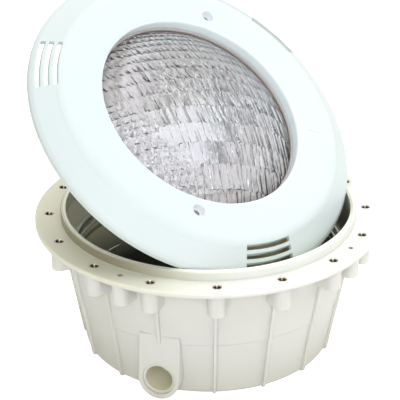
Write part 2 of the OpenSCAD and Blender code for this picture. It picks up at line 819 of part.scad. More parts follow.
module lamp_reflector() {
    inner_mouth_r = mouth_glass_r - glass_t;
    steps = 10;
    color("#c9ccd0")
    in_light()
    rotate_extrude($fn = 180)
        polygon(concat(
            [[0, neck_z]],
            [for (i = [0:steps]) let (r = neck_r + (mouth_glass_r - neck_r) * i / steps) [r, bowl_z(r)]],
            [[lamp_r, rim_back], [lamp_r, seam_z], [inner_mouth_r, seam_z]],
            [for (i = [0:steps]) let (r = mouth_glass_r - (mouth_glass_r - neck_r) * i / steps)
                [r - glass_t, bowl_z(r) + 0.35 * glass_t]],
            [[neck_r - glass_t, neck_floor], [0, neck_floor]]));
}

module filament() {
    span = post_gap - lead_d - 2 * press_fit;
    color("#8a8c90")
    in_light()
    translate([-span / 2, 0, lead_top - filament_r]) rotate([0, 90, 0])
        cylinder(r = filament_r, h = span, $fn = 48);
}

module filament_posts() {
    color("#9b9da1")
    in_light()
    for (s = [-1, 1]) translate([s * post_gap / 2, 0, neck_floor])
        cylinder(d = lead_d, h = filament_h, $fn = 48);
}

module lamp_base() {
    color("#e6e1d6")
    in_light()
    difference() {
        translate([0, 0, base_back]) cylinder(d = base_d, h = base_t);
        translate([-terminal_gap / 2 + terminal_w / 2 + 1, -base_d, base_back - 1])
            cube([terminal_gap - terminal_w - 2, 2 * base_d, 2.5]);
    }
}

module lamp_terminals() {
    color("#b0893f")
    in_light()
    for (s = [-1, 1]) translate([s * terminal_gap / 2, 0, terminal_back])
        difference() {
            translate([-terminal_w / 2, -terminal_w / 2, 0]) cube([terminal_w, terminal_w, terminal_h]);
            translate([0, 0, -1]) cylinder(d = terminal_screw_d + 2 * press_fit, h = terminal_h + 2);
        }
}

module terminal_screws() {
    color("#c9a75a")
    in_light()
    for (s = [-1, 1]) translate([s * terminal_gap / 2, 0, terminal_back])
        difference() {
            union() {
                cylinder(d = terminal_screw_d, h = terminal_h - edge_ease);
                translate([0, 0, -terminal_head_h]) cylinder(d = terminal_head_d, h = terminal_head_h);
            }
            translate([-terminal_head_d, -driver_w / 2, -terminal_head_h - 1])
                cube([2 * terminal_head_d, driver_w, slot_depth + 1]);
        }
}

niche_shell();
flange_inserts();
post_inserts();
face_ring();
ring_inserts();
lens_gasket();
rear_housing();
housing_screws();
screw_washers();
gland_washer();
gland_body();
gland_locknut();
gland_seal();
gland_nut();
lamp_lens();
lamp_reflector();
filament();
filament_posts();
lamp_base();
lamp_terminals();
terminal_screws();
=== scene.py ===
# Underwater pool light: a cream wall niche and the white light unit that leans in its mouth.
# Shapes are worked out in millimetres. Places and edges inside a material are in metres.
import json
from functools import partial
from math import cos, radians, sin

import bmesh
import bpy
import numpy as np
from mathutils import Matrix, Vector


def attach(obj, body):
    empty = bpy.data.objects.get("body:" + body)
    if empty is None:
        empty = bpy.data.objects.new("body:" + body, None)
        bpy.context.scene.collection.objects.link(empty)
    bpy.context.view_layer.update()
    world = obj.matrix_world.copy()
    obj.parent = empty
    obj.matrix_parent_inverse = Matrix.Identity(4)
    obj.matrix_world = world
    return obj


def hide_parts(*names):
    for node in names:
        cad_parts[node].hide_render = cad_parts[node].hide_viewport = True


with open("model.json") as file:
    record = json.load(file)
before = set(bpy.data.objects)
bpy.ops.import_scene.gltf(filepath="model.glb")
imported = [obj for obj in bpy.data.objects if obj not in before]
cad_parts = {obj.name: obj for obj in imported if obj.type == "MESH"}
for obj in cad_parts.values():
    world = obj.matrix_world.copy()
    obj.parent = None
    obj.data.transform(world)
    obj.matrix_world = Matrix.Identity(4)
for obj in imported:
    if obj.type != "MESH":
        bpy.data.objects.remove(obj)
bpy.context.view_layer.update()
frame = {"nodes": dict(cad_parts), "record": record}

scene = bpy.context.scene

# ---- Camera ----
# A long lens a little over a metre away, looking down into the niche from its front.
camera_data = bpy.data.cameras.new("camera")
camera_data.sensor_width = 36
camera_data.lens = 138.8
camera = bpy.data.objects.new("camera", camera_data)
camera.location = (-0.0575, -1.0821, 0.6398)
camera.rotation_euler = (radians(64.15), 0, radians(-2.71))
scene.collection.objects.link(camera)
scene.camera = camera

# ---- Niche ----
# The niche is one injection moulding in cream ABS, with a satin skin and drafted walls.
# It is cast into the pool wall, so only its flange and mouth show once it is in use.
NICHE_TONE, NICHE_SHADE = (0.622, 0.622, 0.600, 1), (0.622, 0.610, 0.566, 1)
FOOT_R, BODY_TOP_R, BODY_TOP_Z, WALL, COLLAR_MID_R = 98.5, 116.0, 102.5, 4.0, 113.0
SOCKET_TOP, SOCKET_BACK = 0.036, -0.05
FOOT_TONE, FOOT_SPAN = (0.575, 0.560, 0.500, 1), (0.045, -0.01)
PORT_SHADE_TINT, PORT_EDGE = (0.730, 0.700, 0.545, 1), (0.0112, 0.0109)
PORT_TURN, PORT_Z = radians(-22.5), 16.0
FLANGE_LIT, FLANGE_SHADED = (0.680, 0.684, 0.645, 1), (0.640, 0.630, 0.505, 1)
FLANGE_SPAN, FLANGE_EDGE = (-0.020, 0.090), (0.1030, 0.1050)
PILOT_SHADE, PILOT_EDGE = (0.380, 0.360, 0.280, 1), (0.0022, 0.0020)
PILOT_COUNT, PILOT_R, PILOT_TURN = 4, 124.0, radians(-33.75)
COLLAR_SHADE, COLLAR_SPAN = (0.262, 0.236, 0.160, 1), (-0.005, 0.085)
COLLAR_FOOT, COLLAR_SKIN = 0.1062, -0.0015
INSIDE_PAINTED_LIGHT, BOTTOM_PAINTED_SHADE = (0.960, 0.950, 0.780, 1), (0.080, 0.080, 0.065, 1)
INSIDE_EDGE, LIT_SPAN = (-0.0005, 0.0005), (0.027, 0.069)
PLASTIC_RELIEF = 0.001
LIT_RISE, LIT_RISE_END, LIT_FALL, LIT_FALL_FROM = 1.4, 0.04, -2.1, 0.06


def feed(tree, socket, value):
    """Puts a value on an input: a node's output by a link, a constant on the socket itself."""
    if isinstance(value, bpy.types.NodeSocket):
        tree.links.new(value, socket)
    else:
        socket.default_value = value


def add_node(tree, kind, **values):
    """Shader node with its settings; a value named after an input goes to that input."""
    node = tree.nodes.new(f"ShaderNode{kind}")
    for key, value in values.items():
        label = key.replace("_", " ")
        if label in node.inputs:
            feed(tree, node.inputs[label], value)
        else:
            setattr(node, key, value)
    return node


def math_node(tree, operation, *values, kind="Math", result=0):
    """Math or VectorMath node on constants or sockets; gives its result."""
    node = add_node(tree, kind, operation=operation)
    for socket, value in zip(node.inputs, values):
        feed(tree, socket, value)
    return node.outputs[result]


def run_between(tree, value, low, high, **settings):
    """How far a value has run from low to high, held between 0 and 1."""
    span = add_node(tree, "MapRange", Value=value, From_Min=low, From_Max=high, **settings)
    return span.outputs["Result"]


def mixed(tree, factor, first, second):
    """Colour between two, each a tone or a socket, by a factor."""
    mix = add_node(tree, "Mix", data_type="RGBA", Factor=factor)
    feed(tree, mix.inputs[6], first)
    feed(tree, mix.inputs[7], second)
    return mix.outputs[2]


def object_place(tree):
    """Place of the shaded point in its object's own coordinates."""
    return add_node(tree, "TexCoord").outputs["Object"]


def split(tree, vector):
    """The three parts of a vector."""
    parts = add_node(tree, "SeparateXYZ", Vector=vector)
    return [parts.outputs[axis] for axis in "XYZ"]


def shader_group(name, inputs, outputs):
    """Empty shader node group with its given values and its results; inputs and outputs are
    (name, kind, default) rows."""
    group = bpy.data.node_groups.new(name, "ShaderNodeTree")
    for in_out, rows in (("INPUT", inputs), ("OUTPUT", outputs)):
        for label, kind, default in rows:
            socket = group.interface.new_socket(
                label, in_out=in_out, socket_type=f"NodeSocket{kind}")
            if default is not None:
                socket.default_value = default
    given, result = group.nodes.new("NodeGroupInput"), group.nodes.new("NodeGroupOutput")
    return group, given.outputs, result.inputs


def moulding_group():
    """Skin of a plastic moulding: a slow drift between two tones, and a fine grain over long
    shallow sink waves as a height."""
    group, given, result = shader_group(
        "moulded_skin",
        [("Tone", "Color", (0.8, 0.8, 0.8, 1)), ("Shade", "Color", (0.7, 0.7, 0.7, 1)),
         ("Drift Scale", "Float", 18.0), ("Grain Scale", "Float", 2400.0),
         ("Grain", "Float", 0.25)],
        [("Color", "Color", None), ("Height", "Float", None), ("Gloss Drift", "Float", None)])
    place = object_place(group)
    waves = add_node(group, "TexNoise", Vector=place, Scale=given["Drift Scale"], Detail=3.0,
                     Roughness=0.55)
    grain = add_node(group, "TexNoise", Vector=place, Scale=given["Grain Scale"], Detail=2.0)
    drift = waves.outputs["Fac"]
    fine = math_node(group, "MULTIPLY", grain.outputs["Fac"], given["Grain"])
    gloss = add_node(group, "MapRange", Value=drift, To_Min=-0.05, To_Max=0.05)
    feed(group, result["Color"], mixed(group, drift, given["Tone"], given["Shade"]))
    feed(group, result["Height"], math_node(group, "ADD", fine, drift))
    feed(group, result["Gloss Drift"], gloss.outputs["Result"])
    return group


def soft_edge_group():
    """Normal rounded over sharp edges by a given radius, as a mould's edges are."""
    group, given, result = shader_group(
        "soft_edges", [("Radius", "Float", 0.0004)], [("Normal", "Vector", None)])
    rounded = add_node(group, "Bevel", samples=4, Radius=given["Radius"])
    feed(group, result["Normal"], rounded.outputs["Normal"])
    return group


MOULDED_SKIN = moulding_group()
SOFT_EDGES = soft_edge_group()


def plain_material(name, **sockets):
    """Material with one Principled shader whose constants are set on its own sockets."""
    made = bpy.data.materials.new(name)
    made.use_nodes = True
    shader = made.node_tree.nodes["Principled BSDF"]
    for key, value in sockets.items():
        shader.inputs[key.replace("_", " ")].default_value = value
    return made, made.node_tree, shader


def surface_normal(tree, height, edge, strength, depth):
    """Normal of a skin's height as a bump, over edges that are rounded by edge millimetres."""
    edges = add_node(tree, "Group", node_tree=SOFT_EDGES, Radius=edge / 1000)
    relief = add_node(tree, "Bump", Strength=strength, Distance=depth, Height=height,
                      Normal=edges.outputs["Normal"])
    return relief.outputs["Normal"]


def moulded_plastic(name, tone, shade, roughness, edge=0.4, bump=0.04, grain=0.25, drift=18.0,
                    **sockets):
    """Moulded plastic: drifting tone and gloss, grain and sink marks, and rounded edges."""
    made, tree, shader = plain_material(name, **sockets)
    skin = add_node(tree, "Group", node_tree=MOULDED_SKIN, Tone=tone, Shade=shade, Grain=grain,
                    Drift_Scale=drift).outputs
    feed(tree, shader.inputs["Base Color"], skin["Color"])
    feed(tree, shader.inputs["Roughness"], math_node(tree, "ADD", skin["Gloss Drift"], roughness))
    feed(tree, shader.inputs["Normal"], surface_normal(
        tree, skin["Height"], edge, bump, PLASTIC_RELIEF))
    return made


def tone_between(made, tone, value, low, high):
    """Turns a material's tone towards another as a value runs from low to high; gives how far."""
    tree = made.node_tree
    base = tree.nodes["Principled BSDF"].inputs["Base Color"]
    turned = run_between(tree, value, low, high, interpolation_type="SMOOTHSTEP")
    feed(tree, base, mixed(tree, turned, base.links[0].from_socket, tone))
    return turned


def wall_depth(tree, x, y, z):
    """How far a point lies inside the middle of the niche's wall: the drafted wall's mean
    radius at that height, or the collar's, less the point's own radius. The port's socket,
    low at the front, counts as outside."""
    calc = partial(math_node, tree)
    radius = calc("SQRT", calc("ADD", calc("MULTIPLY", x, x), calc("MULTIPLY", y, y)))
    draft = (BODY_TOP_R - FOOT_R) / BODY_TOP_Z
    drafted = calc("MULTIPLY_ADD", z, draft, (FOOT_R - WALL / 2) / 1000)
    middle = calc("MINIMUM", drafted, COLLAR_MID_R / 1000)
    socket = calc("MULTIPLY", calc("LESS_THAN", z, SOCKET_TOP), calc("LESS_THAN", y, SOCKET_BACK))
    return calc("SUBTRACT", calc("SUBTRACT", middle, radius), socket)


def axis_distance(tree, point, direction):
    """Distance of the shaded point from an axis through a point in millimetres: the length of
    its offset from that point crossed with the axis's direction."""
    calc = partial(math_node, tree, kind="VectorMath")
    offset = calc("SUBTRACT", object_place(tree), np.asarray(point) / 1000)
    return calc("LENGTH", calc("CROSS_PRODUCT", offset, direction), result="Value")


def dress(node, made):
    """Gives a CAD node its material on every slot."""
    data = frame["nodes"][node].data
    data.materials.clear()
    data.materials.append(made)


niche_plastic = moulded_plastic("niche_abs", NICHE_TONE, NICHE_SHADE, 0.36, edge=0.9, drift=26.0,
                                Subsurface_Weight=0.4, Subsurface_Radius=(1.0, 0.95, 0.85),
                                Subsurface_Scale=0.006)
niche_tree = niche_plastic.node_tree
niche_math = partial(math_node, niche_tree)
across, back, height = split(niche_tree, object_place(niche_tree))
depth = wall_depth(niche_tree, across, back, height)
tone_between(niche_plastic, FOOT_TONE, height, *FOOT_SPAN)

# The port's bore is painted a warm yellow, a painted shade colour for its inside. Its axis runs on
# to the far wall, which is left out.
to_port = axis_distance(niche_tree, (0, 0, PORT_Z), (sin(PORT_TURN), -cos(PORT_TURN), 0))
far_side = niche_math("GREATER_THAN", back, 0.0)
tone_between(niche_plastic, PORT_SHADE_TINT, niche_math("ADD", to_port, far_side), *PORT_EDGE)

# Painted shade: the flange is painted darker and warmer towards the left, where the ring shades it,
# and paler and cooler at the front, where light falls. Its four pilot holes are darker.
behind = niche_math("MAXIMUM", back, 0.0)
leftwards = niche_math("SUBTRACT", niche_math("MULTIPLY", across, -1.0), behind)
shade_to_left = run_between(niche_tree, leftwards, *FLANGE_SPAN)
flange_painted_shade = mixed(niche_tree, shade_to_left, FLANGE_LIT, FLANGE_SHADED)
tone_between(niche_plastic, flange_painted_shade, height, *FLANGE_EDGE)
# Painted shade: the four pilot holes are painted dark, as the shade inside them.
to_pilots = 1.0
for turn in PILOT_TURN + np.arange(PILOT_COUNT) * 2 * np.pi / PILOT_COUNT:
    pilot = axis_distance(niche_tree, (PILOT_R * sin(turn), -PILOT_R * cos(turn), 0), (0, 0, 1))
    to_pilots = niche_math("MINIMUM", to_pilots, pilot)
tone_between(niche_plastic, PILOT_SHADE, to_pilots, *PILOT_EDGE)

# Painted shade: the collar's outer side is painted darker and browner towards the left, away from
# the light.
off_collar = niche_math("MAXIMUM", niche_math("LESS_THAN", height, COLLAR_FOOT),
                        niche_math("GREATER_THAN", depth, COLLAR_SKIN))
collar_shade_side = niche_math("SUBTRACT", leftwards, off_collar)
tone_between(niche_plastic, COLLAR_SHADE, collar_shade_side, *COLLAR_SPAN)

# Painted light and shade inside: the wall is painted pale and warm where light reaches it, and as a
# painted shadow it darkens towards the bottom, less so right of the middle, more so at the far
# right.
rightwards = niche_math("MAXIMUM", across, 0.0)
risen = niche_math("MINIMUM", niche_math("MULTIPLY", rightwards, LIT_RISE), LIT_RISE_END)
far_right = niche_math("MAXIMUM", niche_math("SUBTRACT", across, LIT_FALL_FROM), 0.0)
lit_height = niche_math("MULTIPLY_ADD", far_right, LIT_FALL, niche_math("ADD", height, risen))
lit = run_between(niche_tree, lit_height, *LIT_SPAN)
inside_painted_shade = mixed(niche_tree, lit, BOTTOM_PAINTED_SHADE, INSIDE_PAINTED_LIGHT)
tone_between(niche_plastic, inside_painted_shade, depth, *INSIDE_EDGE)
dress("niche_shell", niche_plastic)

# ---- Hoop and rib ----
# A stiffening hoop with two glossy beads runs round the inside of the niche's wall, and a short
# rib lies below it. Both are moulded in one with the wall, in the same ABS. The beads and the
# rib carry a painted highlight: a pale tone and a metallic sheen that stand in for light on them.
HOOP_TOP, HOOP_LOW, HOOP_FOOT, HOOP_TAPER = 79.5, 71.4, 63.0, 2.0
HOOP_RISE, BEAD_R, BEAD_STEP, HOOP_SINK, HOOP_LIP = 1.7, 1.1, 0.3, 1.0, 0.1
BEAD_HIGHLIGHT, BEAD_EDGE, BEAD_SHEEN = (0.930, 0.930, 0.850, 1), (0.0012, 0.0010), 0.7
RIB_Z, RIB_R, RIB_FROM, RIB_TO = 39.5, 0.7, radians(-136), radians(-127)
RIB_STEPS, RIB_SIDES = 24, 10


def inner_r(z):
    """Inside radius of the drafted wall at a height."""
    return FOOT_R + (BODY_TOP_R - FOOT_R) * z / BODY_TOP_Z - WALL


def grid_faces(rows, columns, loop_rows=False, loop_columns=False):
    """Quads that join each point of a grid to the next both ways; a looped direction also
    joins its last line to its first."""
    r = np.arange(rows if loop_rows else rows - 1)[:, None]
    c = np.arange(columns if loop_columns else columns - 1)[None, :]
    corners = [(r, c), (r, c + 1), (r + 1, c + 1), (r + 1, c)]
    return np.stack([(i % rows) * columns + j % columns for i, j in corners], -1).reshape(-1, 4)


def closed_loop(grid):
    """Faces of a grid that closes on itself both ways."""
    return grid_faces(*grid.shape[:2], loop_rows=True, loop_columns=True)


def turned_grid(profile, segments=120):
    """Surface of revolution about Z: each radius and height carried round a full turn."""
    angle = np.arange(segments)[:, None] * 2 * np.pi / segments
    radius, level = np.asarray(profile, float).T
    return np.stack(np.broadcast_arrays(np.cos(angle) * radius, np.sin(angle) * radius, level), -1)


def new_piece(name, points, faces, made, body, smooth=True):
    """Mesh object from points in millimetres: doubles are merged, needle faces dropped and
    normals turned outwards. It rides on a body and may take its finish from a slot."""
    mesh = bpy.data.meshes.new(name)
    corners = faces if isinstance(faces, list) else faces.tolist()
    mesh.from_pydata((np.asarray(points).reshape(-1, 3) / 1000).tolist(), [], corners)
    work = bmesh.new()
    work.from_mesh(mesh)
    bmesh.ops.remove_doubles(work, verts=work.verts, dist=1e-6)
    bmesh.ops.dissolve_degenerate(work, edges=work.edges, dist=1e-7)
    bmesh.ops.recalc_face_normals(work, faces=work.faces)
    for face in work.faces:
        face.smooth = smooth
    work.to_mesh(mesh)
    work.free()
    mesh.materials.append(made)
    piece = bpy.data.objects.new(name, mesh)
    scene.collection.objects.link(piece)
    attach(piece, body)
    return piece


def hoop_profile():
    """Closed profile of the hoop: a flat band with a half-round bead on each edge and a taper
    below it, sunk a little into the wall behind."""
    turn = np.linspace(0, np.pi, 9)
    bead = np.stack([-BEAD_R * np.sin(turn), BEAD_R * np.cos(turn)], -1)
    face = inner_r(HOOP_LOW) - HOOP_RISE
    foot = inner_r(HOOP_FOOT)
    taper = [[face + HOOP_LIP, HOOP_FOOT + HOOP_TAPER], [foot - HOOP_LIP, HOOP_FOOT]]
    return np.concatenate([
        [[inner_r(HOOP_TOP) + HOOP_SINK, HOOP_TOP + BEAD_R]], bead + [face + BEAD_STEP, HOOP_TOP],
        bead + [face, HOOP_LOW], taper, [[foot + HOOP_SINK, HOOP_FOOT]]])


def blunt_ends(run):
    """Share of a bar's width along its run from 0 to 1: the root of 1 less the eighth power of
    2 run - 1, so it is full for most of the way and nothing at both ends."""
    return np.sqrt(np.clip(1 - (2 * run - 1) ** 8, 0, 1))


def rib_grid():
    """Round bar half sunk along a level arc of the wall: it runs along the arc with u, and a
    circle that shrinks to nothing at both ends goes round it with v."""
    run = np.linspace(0, 1, RIB_STEPS)[:, None]
    turn = np.arange(RIB_SIDES)[None, :] * 2 * np.pi / RIB_SIDES
    swell = RIB_R * blunt_ends(run)
    angle = RIB_FROM + (RIB_TO - RIB_FROM) * run
    radius = inner_r(RIB_Z) - swell * np.cos(turn)
    return np.stack(np.broadcast_arrays(radius * np.sin(angle), -radius * np.cos(angle),
                                        RIB_Z + swell * np.sin(turn)), -1)


bead_plastic = moulded_plastic("hoop_abs", (0.62, 0.62, 0.53, 1), (0.58, 0.58, 0.49, 1), 0.18,
                               edge=0.3)
bead_tree = bead_plastic.node_tree
bead_math = partial(math_node, bead_tree)
bead_level = split(bead_tree, object_place(bead_tree))[2]
# Painted highlight: the two beads are painted pale and given a metallic sheen.
to_beads = bead_math("MINIMUM", *[
    bead_math("ABSOLUTE", bead_math("SUBTRACT", bead_level, z / 1000))
    for z in (HOOP_TOP, HOOP_LOW)])
on_bead_highlight = tone_between(bead_plastic, BEAD_HIGHLIGHT, to_beads, *BEAD_EDGE)
bead_shader = bead_tree.nodes["Principled BSDF"]
feed(bead_tree, bead_shader.inputs["Metallic"], bead_math("MULTIPLY", on_bead_highlight, BEAD_SHEEN))
hoop = turned_grid(hoop_profile(), 180)
new_piece("niche_hoop", hoop, closed_loop(hoop), bead_plastic, "niche")
# Painted highlight: the rib is painted pale with a metallic sheen, standing in for a lit line.
rib_highlight_plastic = moulded_plastic("rib_abs_highlight", BEAD_HIGHLIGHT, BEAD_HIGHLIGHT, 0.2, edge=0.2, Metallic=BEAD_SHEEN)
rib_faces = grid_faces(RIB_STEPS, RIB_SIDES, loop_columns=True)
new_piece("niche_rib", rib_grid(), rib_faces, rib_highlight_plastic, "niche")

# ---- Brass inserts ----
# Threaded brass inserts are pressed hot into the niche's bosses and posts, and into the ring's
# own bosses. A knurl keeps them from turning, and clamp screws and face screws run in them.
INSERT_COUNT, INSERT_R, INSERT_TOP, INSERT_L = 16, 124.0, 106.0, 10.0
KNURL_R, KNURL_SINK, KNURL_DEPTH, KNURL_TEETH = 3.5, 0.12, 0.1, 24
WAIST_SHARE, WAIST_DEPTH, RIM_INSET, RIM_DROP = 0.12, 0.4, 0.35, 0.25
BORE_R, THREAD_ROOT, FOOT_EASE, LEAD_IN = 2.55, 0.15, 0.2, 0.5
THREAD_PITCH, THREAD_DEPTH, THREAD_END, THREAD_STEPS = 0.8, 0.42, 0.4, 46
METAL_EDGE, METAL_RELIEF = 0.15, 0.0005
BORE_SHADE, BORE_EDGE = (0.130, 0.092, 0.052, 1), (0.1057, 0.1051)
STREAK_HIGHLIGHT, STREAK_EDGE, STREAK_FRONT = (1.000, 0.930, 0.780, 1), (0.26, 0.12), -0.2


def metal_group():
    """Worn metal skin: a colour that drifts between bright and tarnished, a roughness that
    follows it, and fine scratches as a height."""
    group, given, result = shader_group(
        "metal_skin",
        [("Bright", "Color", (0.8, 0.8, 0.8, 1)), ("Dull", "Color", (0.6, 0.6, 0.6, 1)),
         ("Drift Scale", "Float", 400.0), ("Roughness Low", "Float", 0.2),
         ("Roughness High", "Float", 0.4)],
        [("Color", "Color", None), ("Roughness", "Float", None), ("Height", "Float", None)])
    place = object_place(group)
    waves = add_node(group, "TexNoise", Vector=place, Scale=given["Drift Scale"], Detail=4.0)
    drift = waves.outputs["Fac"]
    rough = add_node(group, "MapRange", Value=drift, To_Min=given["Roughness Low"],
                     To_Max=given["Roughness High"])
    scratch = add_node(group, "TexNoise", Vector=place, Scale=2600.0, Detail=2.0)
    feed(group, result["Color"], mixed(group, drift, given["Bright"], given["Dull"]))
    feed(group, result["Roughness"], rough.outputs["Result"])
    feed(group, result["Height"], scratch.outputs["Fac"])
    return group


METAL_SKIN = metal_group()


def metal(name, bright, dull, low, high, drift=400.0, bump=0.05, metallic=1.0):
    """Metal whose tone and gloss drift between a bright and a dull state."""
    made, tree, shader = plain_material(name, Metallic=metallic)
    skin = add_node(tree, "Group", node_tree=METAL_SKIN, Bright=bright, Dull=dull,
                    Drift_Scale=drift, Roughness_Low=low, Roughness_High=high).outputs
    feed(tree, shader.inputs["Base Color"], skin["Color"])
    feed(tree, shader.inputs["Roughness"], skin["Roughness"])
    feed(tree, shader.inputs["Normal"], surface_normal(
        tree, skin["Height"], METAL_EDGE, bump, METAL_RELIEF))
    return made


def insert_grid(segments=72):
    """One insert about Z, as a loop of rings: up the knurled outside, where the radius is a
    sine of the turn except at the waist, over the chamfered top, and down the bore, where it
    is a sharp wave of the height and the turn together, which makes the thread."""
    turn = np.arange(segments)[:, None] * 2 * np.pi / segments
    rise = np.linspace(0, INSERT_L, 9)
    knurl = KNURL_R - KNURL_SINK + KNURL_DEPTH * np.sin(KNURL_TEETH * turn)
    outer = np.where(np.abs(rise / INSERT_L - 0.5) < WAIST_SHARE, KNURL_R - WAIST_DEPTH, knurl)
    fall = np.linspace(INSERT_L - LEAD_IN, THREAD_END, THREAD_STEPS)
    wave = np.abs(2 * ((fall / THREAD_PITCH + turn / (2 * np.pi)) % 1) - 1)
    ease = np.clip((INSERT_L - LEAD_IN - fall) / LEAD_IN, 0, 1)
    bore = BORE_R + THREAD_ROOT - THREAD_DEPTH * wave * ease
    plain = np.ones_like(turn)
    radius = np.concatenate([outer, (KNURL_R - RIM_INSET) * plain, (BORE_R + LEAD_IN) * plain, bore,
                             (BORE_R + FOOT_EASE) * plain], 1)
    level = np.concatenate([rise[:-1], [INSERT_L - RIM_DROP, INSERT_L, INSERT_L], fall, [0.0]])
    return np.stack(np.broadcast_arrays(np.cos(turn) * radius, np.sin(turn) * radius, level), -1)


def repeated(grid, centres):
    """Copies of one grid moved to each centre, with the faces of them all."""
    faces = closed_loop(grid)
    points = grid.reshape(-1, 3)[None] + np.asarray(centres)[:, None]
    steps = np.arange(len(points))[:, None, None] * points.shape[1]
    return points.reshape(-1, 3), (faces[None] + steps).reshape(-1, 4)


flange_metal = metal("flange_brass", (0.74, 0.62, 0.46, 1), (0.40, 0.30, 0.19, 1), 0.12, 0.26,
                     drift=330.0)
metal_tree = flange_metal.node_tree
metal_math = partial(math_node, metal_tree)
# Painted shade, with some tarnish: each bore is painted dark brown below its top.
tone_between(flange_metal, BORE_SHADE, split(metal_tree, object_place(metal_tree))[2], *BORE_EDGE)
# Painted highlight: a bright streak down the middle of each bore's far wall, where its face turns
# to the front.
facing = split(metal_tree, add_node(metal_tree, "NewGeometry").outputs["Normal"])
turned_away = metal_math("GREATER_THAN", facing[1], STREAK_FRONT)
sideways = metal_math("ADD", metal_math("ABSOLUTE", facing[0]), turned_away)
tone_between(flange_metal, STREAK_HIGHLIGHT, sideways, *STREAK_EDGE)
around = np.arange(INSERT_COUNT) * 2 * np.pi / INSERT_COUNT
flange_places = np.stack([INSERT_R * np.sin(around), -INSERT_R * np.cos(around),
                          np.full(INSERT_COUNT, INSERT_TOP - INSERT_L)], -1)
insert_points, insert_faces = repeated(insert_grid(), flange_places)
flange_brass = new_piece("flange_brass", insert_points, insert_faces, flange_metal, "niche")
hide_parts("flange_inserts")
brass = metal("insert_brass", (0.66, 0.55, 0.40, 1), (0.06, 0.04, 0.025, 1), 0.14, 0.30,
              drift=330.0)
dress("post_inserts", brass)
dress("ring_inserts", brass)

# ---- Face ring ----
# The face ring is a glossy white ABS moulding, cooler in tone than the niche.
# Two long screws hold it to the niche, and slots let pool water in to cool the lamp.
RING_TONE, RING_SHADE = (0.578, 0.637, 0.634, 1), (0.570, 0.628, 0.629, 1)
THROAT_PAINTED_LIGHT, THROAT_EDGE = (0.880, 0.975, 0.990, 1), (0.0850, 0.0830)
SINK_PAINTED_LIGHT, SINK_EDGE = (0.800, 0.830, 0.870, 1), (0.0049, 0.0047)
HOLE_TONE, HOLE_EDGE, SCREW_R = (0.560, 0.510, 0.450, 1), (0.0029, 0.0027), 95.0
hinge = next(j for j in frame["record"]["behaviour"]["joints"] if j["name"] == "lamp_turn")
entry = next(m for m in frame["record"]["mounts"] if m["name"] == "cable_entry")
UNIT_ORIGIN = np.array(hinge["pos_m"]) * 1000
UNIT_OUT = np.array(hinge["axis"])
GLAND_TURN = radians(210)
across_gland = np.cross(UNIT_OUT, entry["axis"])
UNIT_X = sin(GLAND_TURN) * np.array(entry["axis"]) + cos(GLAND_TURN) * across_gland
UNIT_AXES = np.stack([UNIT_X, np.cross(UNIT_OUT, UNIT_X), UNIT_OUT])


def in_light(points):
    """Points drawn along the light unit's axis, placed in the leaning pose: the unit's origin
    plus each coordinate along the unit's own three directions."""
    return UNIT_ORIGIN + np.asarray(points) @ UNIT_AXES


ring_plastic = moulded_plastic("ring_abs", RING_TONE, RING_SHADE, 0.22, edge=0.5, bump=0.02)
ring_tree = ring_plastic.node_tree
from_axis = axis_distance(ring_tree, UNIT_ORIGIN, UNIT_OUT)
# Painted light: the throat is painted paler and bluer than the rest of the ring, lifting a wall
# that the lamps reach little.
tone_between(ring_plastic, THROAT_PAINTED_LIGHT, from_axis, *THROAT_EDGE)
to_screws = math_node(ring_tree, "MINIMUM", *[
    axis_distance(ring_tree, in_light((0, side, 0)), UNIT_OUT) for side in (-SCREW_R, SCREW_R)])
# Painted light: the screws' counterbores are painted paler than the ring, lifting the shade inside
# them.
tone_between(ring_plastic, SINK_PAINTED_LIGHT, to_screws, *SINK_EDGE)
tone_between(ring_plastic, HOLE_TONE, to_screws, *HOLE_EDGE)
dress("face_ring", ring_plastic)

# ---- Index mark ----
# A fine raised line on the face ring shows the fitter how far the lamp is turned. It is cut
# into the mould, so it is of one piece with the ring.
MARK_TURN, MARK_IN, MARK_OUT = radians(98.8), 91.5, 103.5
MARK_HALF, MARK_RISE, MARK_SINK, MARK_STEPS, MARK_SIDES = 0.35, 0.12, 0.03, 24, 9
PLATEAU_Z = 19.6


def mark_mesh():
    """Half-round line along a radius: it runs outwards with u while a half circle, squashed to
    the line's width and rise, goes over it with v, and its ends sink into the face."""
    share = np.linspace(0, 1, MARK_STEPS)[:, None]
    run = MARK_IN + (MARK_OUT - MARK_IN) * share
    arc = np.linspace(0, np.pi, MARK_SIDES)[None, :]
    swell = blunt_ends(share)
    side, up = MARK_HALF * np.cos(arc) * swell, MARK_RISE * np.sin(arc) * swell
    x = run * sin(MARK_TURN) + side * cos(MARK_TURN)
    y = -run * cos(MARK_TURN) + side * sin(MARK_TURN)
    grid = np.stack([x, y, PLATEAU_Z - MARK_SINK + up], -1)
    return in_light(grid), grid_faces(MARK_STEPS, MARK_SIDES, loop_columns=True)


mark_points, mark_faces = mark_mesh()
new_piece("index_mark", mark_points, mark_faces, ring_plastic, "light_unit")

# ---- Gasket ----
# The lamp's rim sits in a channel of dark silicone that seals it to the ring and the housing.
# A thinner lip of a paler mix stands on the glass against the ring's throat.
LENS_OUT_R, LENS_CENTRE = 130.0, -94.394
LIP_IN_R, LIP_OUT_R, LIP_TOP, LIP_CLEAR = 82.7, 83.75, 8.4, 0.06
LIP_CHAMFER, LIP_OUT_DROP, LIP_IN_DROP = 0.3, 0.2, 0.4
channel_silicone = moulded_plastic("gasket_silicone", (0.16, 0.135, 0.12, 1),
                                   (0.13, 0.11, 0.10, 1), 0.55)
dress("lens_gasket", channel_silicone)


def lens_front(r):
    """Height of the lens's front sphere at a radius."""
    return LENS_CENTRE + np.sqrt(LENS_OUT_R ** 2 - np.asarray(r, float) ** 2)


